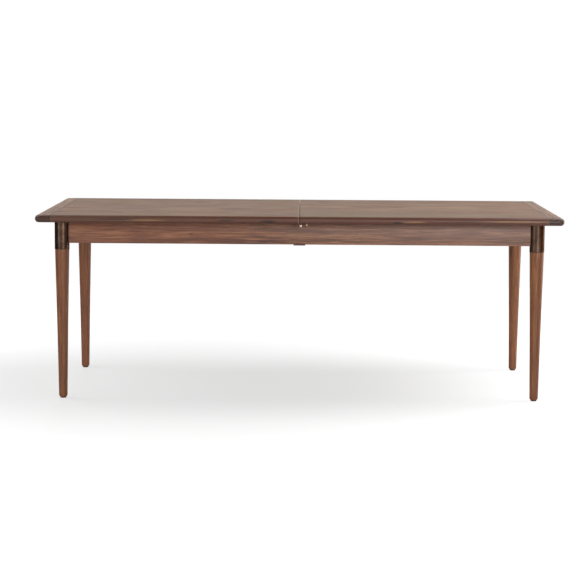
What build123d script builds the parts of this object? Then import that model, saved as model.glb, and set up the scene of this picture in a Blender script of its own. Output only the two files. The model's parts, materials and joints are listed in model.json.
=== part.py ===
"""Extendable dining table with a fixed four-legged frame.

The two halves of the top ride on ball-bearing slides and draw apart along X. A one-piece extension
leaf is kept on cross rails under the top, turned so that its long side runs along the table.
Millimetres. X runs along the table, Y from front (-) to back (+), Z up. The origin is on the floor,
under the middle of the top.
"""

from build123d import *
import math
import os

# ---------------------------------------------------------------- overall sizes
TABLE_LENGTH = 2134.0
TABLE_DEPTH = 1016.0
TABLE_HEIGHT = 762.0
EXTENSION = 508.0

# ---------------------------------------------------------------- top
TOP_THICK = 30.0
EDGE_ROUND = 14.6  # just under half the thickness, so the edge reads as a full round
CORNER_ROUND = 20.0  # in plan
ARRIS = 0.7  # eased top corner wherever two boards meet
END_BOARD_WIDTH = 60.0
TONGUE_THICK = 10.0
TONGUE_LENGTH = 15.0
TONGUE_SETBACK = 28.0  # from the front and back edges
TONGUE_PLAY = 0.2
SEAM_GAP = 1.0
PIN_RADIUS = 3.95
PIN_OUT = 12.0
PIN_IN = 28.0
PIN_TIGHT_BORE = 4.0
PIN_LOOSE_BORE = 4.3
PIN_SPACING = 400.0

# ---------------------------------------------------------------- legs and sleeves
LEG_INSET_X = 97.0
LEG_INSET_Y = 114.0
LEG_FOOT_RADIUS = 17.4
LEG_MIDDLE_RADIUS = 22.55
LEG_SHOULDER_RADIUS = 29.2
LEG_FOOT_Z = 10.0
LEG_MIDDLE_Z = 300.0
FOOT_TIP_RADIUS = 13.0
GLIDE_RADIUS = 12.0
GLIDE_THICK = 3.5
GLIDE_PIN_RADIUS = 1.5
GLIDE_PIN_LENGTH = 14.0
SLEEVE_RADIUS = 30.0
SLEEVE_WALL = 1.6
SLEEVE_CAP = 2.0
SLEEVE_BOTTOM_Z = 616.0
TOP_CLEARANCE = 1.0  # from the sleeves up to the underside of the top
SMALL_PLAY = 0.1
SMALL_CHAMFER = 0.6

# ---------------------------------------------------------------- frame
APRON_THICK = 22.0
APRON_BOTTOM_Z = 641.0
APRON_TOP_Z = 730.0
APRON_EASE = 1.5
COPE_PLAY = 0.15
RAIL_CENTRE_X = 258.0
RAIL_WIDTH = 36.0
RAIL_Z = (645.0, 683.0)
RAIL_DOWEL_Z = (655.0, 673.0)
RAIL_DOWEL_RADIUS = 5.0
RAIL_DOWEL_IN_APRON = 10.0
RAIL_DOWEL_IN_RAIL = 25.0
FELT_THICK = 1.0
BLOCK_Z = (648.0, 684.0)
BLOCK_NEAR = 40.0  # from the leg's axis, along the corner's diagonal
BLOCK_FAR = 66.0
BRACE_WIDTH = 48.0
BRACE_THICK = 4.0
BRACE_SETBACK = 2.0

# ---------------------------------------------------------------- fasteners
BOLT_RADIUS = 4.0
BOLT_IN_LEG = 22.0
BOLT_PAST_NUT = 6.0
WASHER_RADIUS = 10.0
WASHER_THICK = 1.6
NUT_ACROSS_FLATS = 13.0
NUT_THICK = 6.5
SCREW_RADIUS = 2.0
SCREW_HEAD_RADIUS = 3.8
SCREW_HEAD_HEIGHT = 1.8
SCREW_HEAD_RIM = 0.3
SCREW_PLAY = 0.05
RECESS_WIDTH = 0.9
RECESS_DEPTH = 1.2
SLIDE_SCREW_RADIUS = 1.7
LOCK_SCREW_RADIUS = 1.6
CORNER_SCREW_LENGTH = 27.0
BRACE_SCREW_LENGTH = 24.0
SLIDE_SCREW_LENGTH = 15.0
BATTEN_SCREW_LENGTH = 62.0
LOCK_SCREW_LENGTH = 15.0
CORNER_SCREW_REACH = 64.0  # from the leg's axis, along the apron
BRACE_SCREW_X = (-14.0, 14.0)

# ---------------------------------------------------------------- ball-bearing slides
SLIDE_LENGTH = 500.0
SLIDE_OUTER_END_X = 681.0
TRAVEL = EXTENSION / 2
SLIDE_MIDDLE_Z = 708.5
CHANNEL_HEIGHT = 42.0
CHANNEL_DEPTH = 11.4
CHANNEL_WEB = 1.6
CHANNEL_FLANGE = 2.4
BALL_RADIUS = 2.0
BALL_SINK = 0.9  # how far a ball sits into each raceway
BALL_PLAY = 0.08
BALL_LINE = 6.8  # from the apron's face to the row of balls
BALLS_PER_ROW = 8
BALL_PITCH = 27.0
CAGE_WIDTH = 6.0
CAGE_THICK = 0.8
CAGE_LENGTH = 230.0
CAGE_EXTENDED_END_X = 673.0
RUNNER_WEB = 1.6
RUNNER_FLANGE_END = 3.2  # from the apron's face
SLIDE_THICK = 12.6
STOP_LENGTH = 10.0
STOP_HEIGHT = 17.0
STOP_GAP = 0.5
BATTEN_THICK = 25.0
BATTEN_BOTTOM_Z = 687.0
BATTEN_INNER_END_X = 30.0
SLIDE_SCREW_X = (205.0, 340.0, 520.0, 661.0)
BATTEN_SCREW_X = (70.0, 215.0, 360.0, 505.0, 650.0)

# ---------------------------------------------------------------- leaf
LEAF_Z = (684.0, 714.0)
LEAF_STOP_HEIGHT = 16.0
LEAF_STOP_THICK = 20.0
LEAF_STOP_PLAY = 2.5

# ---------------------------------------------------------------- table locks
LOCK_Y = 452.0
LOCK_PIVOT_X = 30.0
LOCK_REACH = 40.0  # from the pivot to the keeper's post
LOCK_OPEN_DEG = 60.0
LOCK_PLATE = 2.0
LOCK_PLATE_WIDTH = 24.0
LOCK_BASE_X = (5.0, 50.0)
KEEPER_X = (-36.0, -3.0)
PIVOT_RADIUS = 4.0
PIVOT_HEAD_RADIUS = 6.5
HUB_RADIUS = 8.0
POST_RADIUS = 3.0
POST_HEAD_RADIUS = 4.6
LEVER_THICK = 3.0
LEVER_HALF_WIDTH = 6.0
LEVER_TIP = 50.0
LEVER_DROP = 3.5  # underside of the top to the lever's upper face
LEVER_CORNER = 2.0
TAB_THICK = 2.5
TAB_HALF_WIDTH = 5.0
TAB_DROP = 6.0  # below the lever's underside
HUB_HEIGHT = 6.2
HUB_DROP = 2.0
HEAD_THICK = 1.6
PIVOT_HEAD_DROP = 2.3
POST_HEAD_DROP = 1.5
NOTCH_PLAY = 0.6
PLATE_CORNER = 5.0
BASE_SCREWS = ((12.0, 0.0), (44.0, 0.0))  # x and y from the lock's middle
KEEPER_SCREWS = ((-30.0, -7.5), (-19.5, 7.5))

# ---------------------------------------------------------------- worked out from those above
HALF_LENGTH = TABLE_LENGTH / 2
HALF_DEPTH = TABLE_DEPTH / 2
UNDERSIDE_Z = TABLE_HEIGHT - TOP_THICK
MID_TOP_Z = TABLE_HEIGHT - TOP_THICK / 2
LEG_X = HALF_LENGTH - LEG_INSET_X
LEG_Y = HALF_DEPTH - LEG_INSET_Y
SLEEVE_TOP_Z = UNDERSIDE_Z - TOP_CLEARANCE
APRON_FACE_X = LEG_X - APRON_THICK / 2  # inner faces of the aprons
APRON_FACE_Y = LEG_Y - APRON_THICK / 2
BOLT_Z = sum(BLOCK_Z) / 2
LEAF_HALF_WIDTH = (EXTENSION - SEAM_GAP) / 2
LEAF_MIDDLE_Z = sum(LEAF_Z) / 2
LEVER_LOW_Z = UNDERSIDE_Z - LEVER_DROP - LEVER_THICK

CORNERS = {"front_left": (-1, -1), "front_right": (1, -1), "back_left": (-1, 1), "back_right": (1, 1)}
HALVES = {"left": -1, "right": 1}
FACES = {"front": -1, "back": 1}
X_AXIS, Y_AXIS, Z_AXIS = Vector(1, 0, 0), Vector(0, 1, 0), Vector(0, 0, 1)


# ================================================================ small helpers
def slab(xs, ys, zs):
    """A box between two values on each axis, given in either order."""
    size = [abs(b - a) for a, b in (xs, ys, zs)]
    middle = [(a + b) / 2 for a, b in (xs, ys, zs)]
    return Pos(*middle) * Box(*size)


def rod(start, direction, radius, length):
    """A cylinder from a point, along a direction."""
    plane = Plane(origin=start, z_dir=direction)
    return extrude(plane * Circle(radius), length)


def tube(start, direction, radius, bore, length):
    plane = Plane(origin=start, z_dir=direction)
    return extrude(plane * (Circle(radius) - Circle(bore)), length)


def along(plane, *points):
    """A flat face on a plane, through points in order."""
    return plane * make_face(Polyline(*points, close=True))


def save(name, *shapes):
    """Writes one node, made of one or more separate solids."""
    solids = [s for shape in shapes for s in shape.solids()]
    whole = solids[0] if len(solids) == 1 else Compound(children=solids)
    export_step(whole, f"parts/{name}.step")


def cut_all(shape, tools):
    """The shape less every tool; tools that touch nothing are harmless."""
    return shape - list(tools) if tools else shape


# ================================================================ fasteners
def screw_head(radius):
    """Radius and height of the countersunk head of a screw with that shank radius."""
    return SCREW_HEAD_RADIUS * radius / SCREW_RADIUS, SCREW_HEAD_HEIGHT * radius / SCREW_RADIUS


def screw(start, direction, length, radius=SCREW_RADIUS):
    """A countersunk cross-head screw whose head is flush with start and whose point lies along direction."""
    plane = Plane(origin=start, z_dir=direction)
    head, head_height = screw_head(radius)
    outline = Polyline(
        (0, 0),
        (head, 0),
        (head, SCREW_HEAD_RIM),
        (radius, head_height),
        (radius, length - 2 * radius),
        (0, length),
        close=True,
    )
    body = revolve(make_face(Plane.XZ * outline), Axis.Z)
    recess = Pos(0, 0, RECESS_DEPTH / 2) * (
        Box(1.1 * head, RECESS_WIDTH, RECESS_DEPTH) + Box(RECESS_WIDTH, 1.1 * head, RECESS_DEPTH)
    )
    return plane.location * (body - recess)


def screw_bore(start, direction, length, radius=SCREW_RADIUS):
    """The countersunk hole that holds such a screw, with a little play all round."""
    plane = Plane(origin=start, z_dir=direction)
    head, head_height = screw_head(radius)
    head += SCREW_PLAY
    wall = radius + SCREW_PLAY
    outline = Polyline(
        (0, -1),
        (head, -1),
        (head, SCREW_HEAD_RIM + SCREW_PLAY),
        (wall, head_height + 2 * SCREW_PLAY),
        (wall, length + 0.5),
        (0, length + 0.5),
        close=True,
    )
    return plane.location * revolve(make_face(Plane.XZ * outline), Axis.Z)


def hex_nut(start, direction):
    plane = Plane(origin=start, z_dir=direction)
    across_corners = NUT_ACROSS_FLATS / math.cos(math.pi / 6)
    flats = RegularPolygon(across_corners / 2, 6) - Circle(BOLT_RADIUS + SMALL_PLAY)
    return extrude(plane * flats, NUT_THICK)


# ================================================================ legs
def diagonal(sx, sy):
    """Unit vector from a leg towards the middle of the table, at 45 degrees."""
    return Vector(-sx, -sy, 0).normalized()


def leg_axis(sx, sy, z=0.0):
    return Vector(sx * LEG_X, sy * LEG_Y, z)


def bolt_bore(sx, sy, radius):
    """The hole for the corner bolt, from inside the leg out past the corner block."""
    towards = diagonal(sx, sy)
    start = leg_axis(sx, sy, BOLT_Z) + towards * (SLEEVE_RADIUS - SLEEVE_WALL - BOLT_IN_LEG - SMALL_PLAY)
    return rod(start, towards, radius, BLOCK_FAR + 30)


def leg(sx, sy):
    """Turned leg: a slightly hollow taper up to a shoulder, then a spigot that fills the sleeve."""
    spigot_radius = SLEEVE_RADIUS - SLEEVE_WALL - SMALL_PLAY
    spigot_top = SLEEVE_TOP_Z - SLEEVE_CAP - SMALL_PLAY
    taper = ThreePointArc(
        (LEG_FOOT_RADIUS, LEG_FOOT_Z), (LEG_MIDDLE_RADIUS, LEG_MIDDLE_Z), (LEG_SHOULDER_RADIUS, SLEEVE_BOTTOM_Z)
    )
    upper = Polyline(
        (LEG_SHOULDER_RADIUS, SLEEVE_BOTTOM_Z),
        (spigot_radius, SLEEVE_BOTTOM_Z),
        (spigot_radius, spigot_top),
        (0, spigot_top),
        (0, GLIDE_THICK),
        (FOOT_TIP_RADIUS, GLIDE_THICK),
        (LEG_FOOT_RADIUS, LEG_FOOT_Z),
    )
    turned = revolve(make_face(Plane.XZ * Curve(children=[taper, upper])), Axis.Z)
    glide_hole = rod((0, 0, 0), Z_AXIS, GLIDE_PIN_RADIUS + SCREW_PLAY, GLIDE_THICK + GLIDE_PIN_LENGTH + 1)
    placed = Pos(*leg_axis(sx, sy)) * (turned - glide_hole)
    return placed - bolt_bore(sx, sy, BOLT_RADIUS + SMALL_PLAY)


def leg_sleeve(sx, sy):
    """Metal cup over the head of the leg, closed on top and drilled for the corner bolt."""
    height = SLEEVE_TOP_Z - SLEEVE_BOTTOM_Z
    cup = rod((0, 0, SLEEVE_BOTTOM_Z), Z_AXIS, SLEEVE_RADIUS, height)
    rims = cup.edges().filter_by(GeomType.CIRCLE)
    cup = chamfer(rims, 0.5)
    cup -= rod((0, 0, SLEEVE_BOTTOM_Z - 1), Z_AXIS, SLEEVE_RADIUS - SLEEVE_WALL, height - SLEEVE_CAP + 1)
    return Pos(*leg_axis(sx, sy)) * cup - bolt_bore(sx, sy, BOLT_RADIUS + 4 * SMALL_PLAY)


def foot_glide(sx, sy):
    """Hard plastic glide on a pin driven up into the leg."""
    disc = rod((0, 0, 0), Z_AXIS, GLIDE_RADIUS, GLIDE_THICK)
    disc = chamfer(disc.edges().sort_by(Axis.Z)[0], 1.0)
    pin = rod((0, 0, 0.5), Z_AXIS, GLIDE_PIN_RADIUS, GLIDE_THICK + GLIDE_PIN_LENGTH - 0.5)
    return Pos(*leg_axis(sx, sy)) * (disc + pin)


# ================================================================ corner joints
def block_face(offset, coordinate):
    """Where the corner block's diagonal face meets a line at a distance from the leg's axis."""
    return math.sqrt(2) * offset - coordinate


def corner_screw_places(sx, sy):
    """Start and direction of the four screws that hold a corner block to its two aprons."""
    reach = block_face(BLOCK_FAR, CORNER_SCREW_REACH) - 3.0
    places = []
    for z in (BLOCK_Z[0] + 9, BLOCK_Z[1] - 9):
        places.append((leg_axis(sx, sy, z) + Vector(-sx * CORNER_SCREW_REACH, -sy * reach, 0), Vector(0, sy, 0)))
        places.append((leg_axis(sx, sy, z) + Vector(-sx * reach, -sy * CORNER_SCREW_REACH, 0), Vector(sx, 0, 0)))
    return places


def corner_block(sx, sy):
    """Hardwood block set across the inside corner of two aprons."""
    inner = APRON_THICK / 2
    outline = [
        (block_face(BLOCK_NEAR, inner), inner),
        (block_face(BLOCK_FAR, inner), inner),
        (inner, block_face(BLOCK_FAR, inner)),
        (inner, block_face(BLOCK_NEAR, inner)),
    ]
    points = [(sx * LEG_X - sx * a, sy * LEG_Y - sy * b) for a, b in outline]
    body = extrude(along(Plane.XY.offset(BLOCK_Z[0]), *points), BLOCK_Z[1] - BLOCK_Z[0])
    bores = [bolt_bore(sx, sy, BOLT_RADIUS + 4 * SMALL_PLAY)]
    for start, direction in corner_screw_places(sx, sy):
        bores.append(screw_bore(start, direction, CORNER_SCREW_LENGTH))
        bores.append(rod(start, direction * -1, SCREW_HEAD_RADIUS + SCREW_PLAY, 30))
    return cut_all(body, bores)


def corner_fasteners(sx, sy):
    """Hanger bolt, washer and nut of one corner."""
    towards = diagonal(sx, sy)
    axis = leg_axis(sx, sy, BOLT_Z)
    start = axis + towards * (SLEEVE_RADIUS - SLEEVE_WALL - BOLT_IN_LEG)
    end = BLOCK_FAR + WASHER_THICK + NUT_THICK + BOLT_PAST_NUT
    bolt = rod(start, towards, BOLT_RADIUS, end - (SLEEVE_RADIUS - SLEEVE_WALL - BOLT_IN_LEG))
    bolt = chamfer(bolt.edges().filter_by(GeomType.CIRCLE), 0.8)
    washer = tube(axis + towards * BLOCK_FAR, towards, WASHER_RADIUS, BOLT_RADIUS + 2 * SMALL_PLAY, WASHER_THICK)
    nut = hex_nut(axis + towards * (BLOCK_FAR + WASHER_THICK), towards)
    return bolt, washer, nut


# ================================================================ aprons, rails and brace
def slide_screw_places(half, face):
    """Screws that hold a slide's channel to the apron: start and direction."""
    y = face * (APRON_FACE_Y - CHANNEL_WEB)
    return [(Vector(half * x, y, SLIDE_MIDDLE_Z), Vector(0, face, 0)) for x in SLIDE_SCREW_X]


def rail_dowel_places(half, face):
    """Centre of each dowel where a cross rail meets an apron, on the apron's face."""
    return [Vector(half * RAIL_CENTRE_X, face * APRON_FACE_Y, z) for z in RAIL_DOWEL_Z]


def brace_screw_places():
    places = []
    for face in FACES.values():
        for x in BRACE_SCREW_X:
            places.append((Vector(x, face * LEG_Y, APRON_BOTTOM_Z - BRACE_THICK), Z_AXIS))
    return places


def ease_bottom(board, axis):
    """Rounds the two long lower edges of an apron."""
    lower = board.edges().filter_by(axis).sort_by(Axis.Z)[:2]
    return fillet(lower, APRON_EASE)


def long_apron(face):
    """Front or back apron, coped at each end to fit round the sleeves."""
    board = slab(
        (-LEG_X, LEG_X),
        (face * (LEG_Y - APRON_THICK / 2), face * (LEG_Y + APRON_THICK / 2)),
        (APRON_BOTTOM_Z, APRON_TOP_Z),
    )
    board = ease_bottom(board, Axis.X)
    tools = [rod(leg_axis(sx, face, 600), Z_AXIS, SLEEVE_RADIUS + COPE_PLAY, 200) for sx in (-1, 1)]
    for half in HALVES.values():
        for start, direction in slide_screw_places(half, face):
            tools.append(rod(start, direction, SLIDE_SCREW_RADIUS + SCREW_PLAY, SLIDE_SCREW_LENGTH + 0.5))
        for place in rail_dowel_places(half, face):
            tools.append(rod(place, Vector(0, face, 0), RAIL_DOWEL_RADIUS + SCREW_PLAY, RAIL_DOWEL_IN_APRON + 0.5))
        for start, direction in corner_screw_places(half, face):
            if abs(direction.Y) > 0.5:
                tools.append(rod(start, direction, SCREW_RADIUS + SCREW_PLAY, CORNER_SCREW_LENGTH + 0.5))
    for start, direction in brace_screw_places():
        tools.append(rod(start, direction, SCREW_RADIUS + SCREW_PLAY, BRACE_SCREW_LENGTH + 0.5))
    return cut_all(board, tools)


def end_apron(half):
    """Left or right apron."""
    board = slab(
        (half * (LEG_X - APRON_THICK / 2), half * (LEG_X + APRON_THICK / 2)),
        (-LEG_Y, LEG_Y),
        (APRON_BOTTOM_Z, APRON_TOP_Z),
    )
    board = ease_bottom(board, Axis.Y)
    tools = [rod(leg_axis(half, sy, 600), Z_AXIS, SLEEVE_RADIUS + COPE_PLAY, 200) for sy in (-1, 1)]
    for sy in FACES.values():
        for start, direction in corner_screw_places(half, sy):
            if abs(direction.X) > 0.5:
                tools.append(rod(start, direction, SCREW_RADIUS + SCREW_PLAY, CORNER_SCREW_LENGTH + 0.5))
    return cut_all(board, tools)


def cross_rail(half):
    """Rail between the long aprons that ties them together and carries the stored leaf."""
    board = slab(
        (half * (RAIL_CENTRE_X - RAIL_WIDTH / 2), half * (RAIL_CENTRE_X + RAIL_WIDTH / 2)),
        (-APRON_FACE_Y, APRON_FACE_Y),
        RAIL_Z,
    )
    board = fillet(board.edges().filter_by(Axis.Y).sort_by(Axis.Z)[:2], 2.0)
    tools = []
    for face in FACES.values():
        for place in rail_dowel_places(half, face):
            tools.append(rod(place, Vector(0, -face, 0), RAIL_DOWEL_RADIUS + SCREW_PLAY, RAIL_DOWEL_IN_RAIL + 0.5))
    return cut_all(board, tools)


def rail_dowels():
    length = RAIL_DOWEL_IN_APRON + RAIL_DOWEL_IN_RAIL
    made = []
    for half in HALVES.values():
        for face in FACES.values():
            for place in rail_dowel_places(half, face):
                start = place + Vector(0, face * RAIL_DOWEL_IN_APRON, 0)
                peg = rod(start, Vector(0, -face, 0), RAIL_DOWEL_RADIUS, length)
                made.append(chamfer(peg.edges().filter_by(GeomType.CIRCLE), 1.0))
    return made


def rail_felts():
    """Felt strips on the cross rails, under the leaf."""
    xs = (RAIL_CENTRE_X - RAIL_WIDTH / 2 + 3, RAIL_CENTRE_X + RAIL_WIDTH / 2 - 3)
    zs = (RAIL_Z[1], RAIL_Z[1] + FELT_THICK)
    return [slab((half * xs[0], half * xs[1]), (-250, 250), zs) for half in HALVES.values()]


def leaf_stops():
    """Blocks on the cross rails that keep the stored leaf from shifting front to back."""
    made = []
    for half in HALVES.values():
        for face, inner in ((-1, LEAF_HALF_WIDTH), (1, LEAF_HALF_WIDTH + PIN_OUT)):
            near = face * (inner + LEAF_STOP_PLAY)
            block = slab(
                (half * (RAIL_CENTRE_X - RAIL_WIDTH / 2), half * (RAIL_CENTRE_X + RAIL_WIDTH / 2)),
                (near, near + face * LEAF_STOP_THICK),
                (RAIL_Z[1], RAIL_Z[1] + LEAF_STOP_HEIGHT),
            )
            made.append(chamfer(block.edges().group_by(Axis.Z)[-1], 2.0))
    return made


def centre_brace():
    """Flat steel bar under the middle of both long aprons."""
    reach = LEG_Y + APRON_THICK / 2 - BRACE_SETBACK
    bar = slab(
        (-BRACE_WIDTH / 2, BRACE_WIDTH / 2), (-reach, reach), (APRON_BOTTOM_Z - BRACE_THICK, APRON_BOTTOM_Z)
    )
    bar = fillet(bar.edges().filter_by(Axis.Z), 3.0)
    return cut_all(bar, [screw_bore(s, d, BRACE_SCREW_LENGTH) for s, d in brace_screw_places()])


# ================================================================ ball-bearing slides
def ball_centres(face):
    """Y of the ball rows, and Z of the upper and the lower row."""
    inner_height = CHANNEL_HEIGHT / 2 - CHANNEL_FLANGE
    lift = inner_height + BALL_SINK - BALL_RADIUS
    return face * (APRON_FACE_Y - BALL_LINE), (SLIDE_MIDDLE_Z + lift, SLIDE_MIDDLE_Z - lift)


def raceways(face, x_start, length):
    y, levels = ball_centres(face)
    return [rod((x_start, y, z), X_AXIS, BALL_RADIUS + BALL_PLAY, length) for z in levels]


def slide_channel(half, face):
    """Fixed half of a slide: a channel screwed to the apron, with a stop inside."""
    start = min(half * SLIDE_OUTER_END_X, half * (SLIDE_OUTER_END_X - SLIDE_LENGTH))
    wall = face * APRON_FACE_Y
    low, high = SLIDE_MIDDLE_Z - CHANNEL_HEIGHT / 2, SLIDE_MIDDLE_Z + CHANNEL_HEIGHT / 2
    xs = (start, start + SLIDE_LENGTH)
    body = slab(xs, (wall, wall - face * CHANNEL_DEPTH), (low, high))
    body -= slab(
        (xs[0] - 1, xs[1] + 1),
        (wall - face * CHANNEL_WEB, wall - face * (CHANNEL_DEPTH + 1)),
        (low + CHANNEL_FLANGE, high - CHANNEL_FLANGE),
    )
    body = cut_all(body, raceways(face, start - 1, SLIDE_LENGTH + 2))
    stop_x = SLIDE_OUTER_END_X - SLIDE_LENGTH + STOP_LENGTH + TRAVEL + STOP_GAP
    body += slab(
        (half * stop_x, half * (stop_x + STOP_LENGTH)),
        (wall - face * CHANNEL_WEB / 2, wall - face * 9.0),
        (SLIDE_MIDDLE_Z - STOP_HEIGHT / 2, SLIDE_MIDDLE_Z + STOP_HEIGHT / 2),
    )
    bores = [
        screw_bore(s, d, SLIDE_SCREW_LENGTH, SLIDE_SCREW_RADIUS) for s, d in slide_screw_places(half, face)
    ]
    return cut_all(body, bores)


def runner_screw_places(half, face):
    """Screws that hold a slide's runner to its batten."""
    y = face * (APRON_FACE_Y - SLIDE_THICK + RUNNER_WEB)
    return [(Vector(half * x, y, SLIDE_MIDDLE_Z), Vector(0, -face, 0)) for x in SLIDE_SCREW_X]


def slide_runner(half, face):
    """Moving half of a slide: a smaller channel that faces the fixed one, with its own stop."""
    start = min(half * SLIDE_OUTER_END_X, half * (SLIDE_OUTER_END_X - SLIDE_LENGTH))
    wall = face * APRON_FACE_Y
    balls_z = ball_centres(face)[1]
    half_height = balls_z[0] - SLIDE_MIDDLE_Z - BALL_RADIUS + BALL_SINK
    low, high = SLIDE_MIDDLE_Z - half_height, SLIDE_MIDDLE_Z + half_height
    xs = (start, start + SLIDE_LENGTH)
    body = slab(xs, (wall - face * RUNNER_FLANGE_END, wall - face * SLIDE_THICK), (low, high))
    body -= slab(
        (xs[0] - 1, xs[1] + 1),
        (wall, wall - face * (SLIDE_THICK - RUNNER_WEB)),
        (low + CHANNEL_FLANGE, high - CHANNEL_FLANGE),
    )
    body = cut_all(body, raceways(face, start - 1, SLIDE_LENGTH + 2))
    stop_x = SLIDE_OUTER_END_X - SLIDE_LENGTH
    body += slab(
        (half * stop_x, half * (stop_x + STOP_LENGTH)),
        (wall - face * (RUNNER_FLANGE_END + 0.2), wall - face * (SLIDE_THICK - RUNNER_WEB / 2)),
        (SLIDE_MIDDLE_Z - STOP_HEIGHT / 2, SLIDE_MIDDLE_Z + STOP_HEIGHT / 2),
    )
    bores = [
        screw_bore(s, d, SLIDE_SCREW_LENGTH, SLIDE_SCREW_RADIUS) for s, d in runner_screw_places(half, face)
    ]
    return cut_all(body, bores)


def ball_cages(half):
    """Both slides' cage strips of one half of the top, each with its row of balls."""
    rest_outer_end = CAGE_EXTENDED_END_X - TRAVEL / 2
    middle_x = half * (rest_outer_end - CAGE_LENGTH / 2)
    first = middle_x - BALL_PITCH * (BALLS_PER_ROW - 1) / 2
    made = []
    for face in FACES.values():
        y, levels = ball_centres(face)
        for z in levels:
            strip = Pos(middle_x, y, z) * Box(CAGE_LENGTH, CAGE_WIDTH, CAGE_THICK)
            centres = [(first + i * BALL_PITCH, y, z) for i in range(BALLS_PER_ROW)]
            holes = [Pos(*c) * Cylinder(BALL_RADIUS + BALL_PLAY, 4) for c in centres]
            made.append(cut_all(strip, holes))
            made.extend(Pos(*c) * Sphere(BALL_RADIUS) for c in centres)
    return made


# ================================================================ top
def batten_screw_places(half, face):
    y = face * (APRON_FACE_Y - SLIDE_THICK - BATTEN_THICK / 2)
    return [(Vector(half * x, y, BATTEN_BOTTOM_Z), Z_AXIS) for x in BATTEN_SCREW_X]


def batten(half, face):
    """Hardwood batten under the top that the slide's runner is screwed to."""
    outer_y = face * (APRON_FACE_Y - SLIDE_THICK)
    board = slab(
        (half * BATTEN_INNER_END_X, half * SLIDE_OUTER_END_X),
        (outer_y, outer_y - face * BATTEN_THICK),
        (BATTEN_BOTTOM_Z, UNDERSIDE_Z),
    )
    tools = [screw_bore(s, d, BATTEN_SCREW_LENGTH) for s, d in batten_screw_places(half, face)]
    for start, direction in runner_screw_places(half, face):
        tools.append(rod(start, direction, SLIDE_SCREW_RADIUS + SCREW_PLAY, SLIDE_SCREW_LENGTH + 0.5))
    return cut_all(board, tools)


def pin_places():
    return [-PIN_SPACING, 0.0, PIN_SPACING]


def top_panel(half):
    """The long-grain field of one half of the top, with round front and back edges and an end tongue."""
    seam = half * SEAM_GAP / 2
    outer = half * (HALF_LENGTH - END_BOARD_WIDTH)
    board = slab((seam, outer), (-HALF_DEPTH, HALF_DEPTH), (UNDERSIDE_Z, TABLE_HEIGHT))
    board = fillet(board.edges().filter_by(Axis.X), EDGE_ROUND)
    cross_edges = board.edges().filter_by(Axis.Y)
    board = chamfer([e for e in cross_edges if e.center().Z > MID_TOP_Z + 10], ARRIS)
    board += slab(
        (outer - half * 1, outer + half * TONGUE_LENGTH),
        (-HALF_DEPTH + TONGUE_SETBACK, HALF_DEPTH - TONGUE_SETBACK),
        (MID_TOP_Z - TONGUE_THICK / 2, MID_TOP_Z + TONGUE_THICK / 2),
    )
    inward = Vector(half, 0, 0)
    pin_bore = PIN_TIGHT_BORE if half < 0 else PIN_LOOSE_BORE
    pin_depth = PIN_IN if half < 0 else PIN_OUT + 3
    tools = [rod((seam - half, y, MID_TOP_Z), inward, pin_bore, pin_depth + 1) for y in pin_places()]
    for face in FACES.values():
        for start, direction in batten_screw_places(half, face):
            tools.append(rod(start, direction, SCREW_RADIUS + SCREW_PLAY, BATTEN_SCREW_LENGTH + 0.5))
        for start, direction in lock_screw_places(half, face):
            tools.append(rod(start, direction, LOCK_SCREW_RADIUS + SCREW_PLAY, LOCK_SCREW_LENGTH + 0.5))
    return cut_all(board, tools)


def end_board(half):
    """Cross-grain board that closes the end of one half, grooved for the panel's tongue."""
    inner = half * (HALF_LENGTH - END_BOARD_WIDTH)
    outer = half * HALF_LENGTH
    board = slab((inner, outer), (-HALF_DEPTH, HALF_DEPTH), (UNDERSIDE_Z, TABLE_HEIGHT))
    upright = [e for e in board.edges().filter_by(Axis.Z) if abs(e.center().X) > HALF_LENGTH - 1]
    board = fillet(upright, CORNER_ROUND)
    rim = [
        e
        for e in board.edges()
        if not (e.geom_type == GeomType.LINE and abs(abs(e.center().X) - abs(inner)) < 0.01)
        and abs(abs(e.center().Z - MID_TOP_Z) - TOP_THICK / 2) < 0.01
    ]
    board = fillet(rim, EDGE_ROUND)
    joint = [
        e
        for e in board.edges().filter_by(Axis.Y)
        if abs(abs(e.center().X) - abs(inner)) < 0.01 and e.center().Z > MID_TOP_Z + 10
    ]
    board = chamfer(joint, ARRIS)
    return board - slab(
        (inner - half * 1, inner + half * (TONGUE_LENGTH + TONGUE_PLAY)),
        (-HALF_DEPTH + TONGUE_SETBACK - TONGUE_PLAY, HALF_DEPTH - TONGUE_SETBACK + TONGUE_PLAY),
        (MID_TOP_Z - TONGUE_THICK / 2 - TONGUE_PLAY, MID_TOP_Z + TONGUE_THICK / 2 + TONGUE_PLAY),
    )


def alignment_pins():
    """Dowels in the left half's seam edge, which enter the right half's edge or the leaf's."""
    made = []
    for y in pin_places():
        start = (-SEAM_GAP / 2 - PIN_IN + 0.5, y, MID_TOP_Z)
        peg = rod(start, X_AXIS, PIN_RADIUS, PIN_IN - 0.5 + PIN_OUT)
        made.append(chamfer(peg.edges().filter_by(GeomType.CIRCLE), 1.2))
    return made


# ================================================================ extension leaf
def extension_leaf():
    """The leaf as stored: its rounded ends, which line up with the table's edges, face left and right."""
    board = slab((-HALF_DEPTH, HALF_DEPTH), (-LEAF_HALF_WIDTH, LEAF_HALF_WIDTH), LEAF_Z)
    board = fillet(board.edges().filter_by(Axis.Y), EDGE_ROUND)
    upper = [e for e in board.edges().filter_by(Axis.X) if e.center().Z > LEAF_Z[1] - 1]
    board = chamfer(upper, ARRIS)
    tools = []
    for x in pin_places():
        tools.append(rod((x, LEAF_HALF_WIDTH + 1, LEAF_MIDDLE_Z), Y_AXIS * -1, PIN_TIGHT_BORE, PIN_IN + 1))
        tools.append(rod((x, -LEAF_HALF_WIDTH - 1, LEAF_MIDDLE_Z), Y_AXIS, PIN_LOOSE_BORE, PIN_OUT + 4))
    return cut_all(board, tools)


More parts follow.
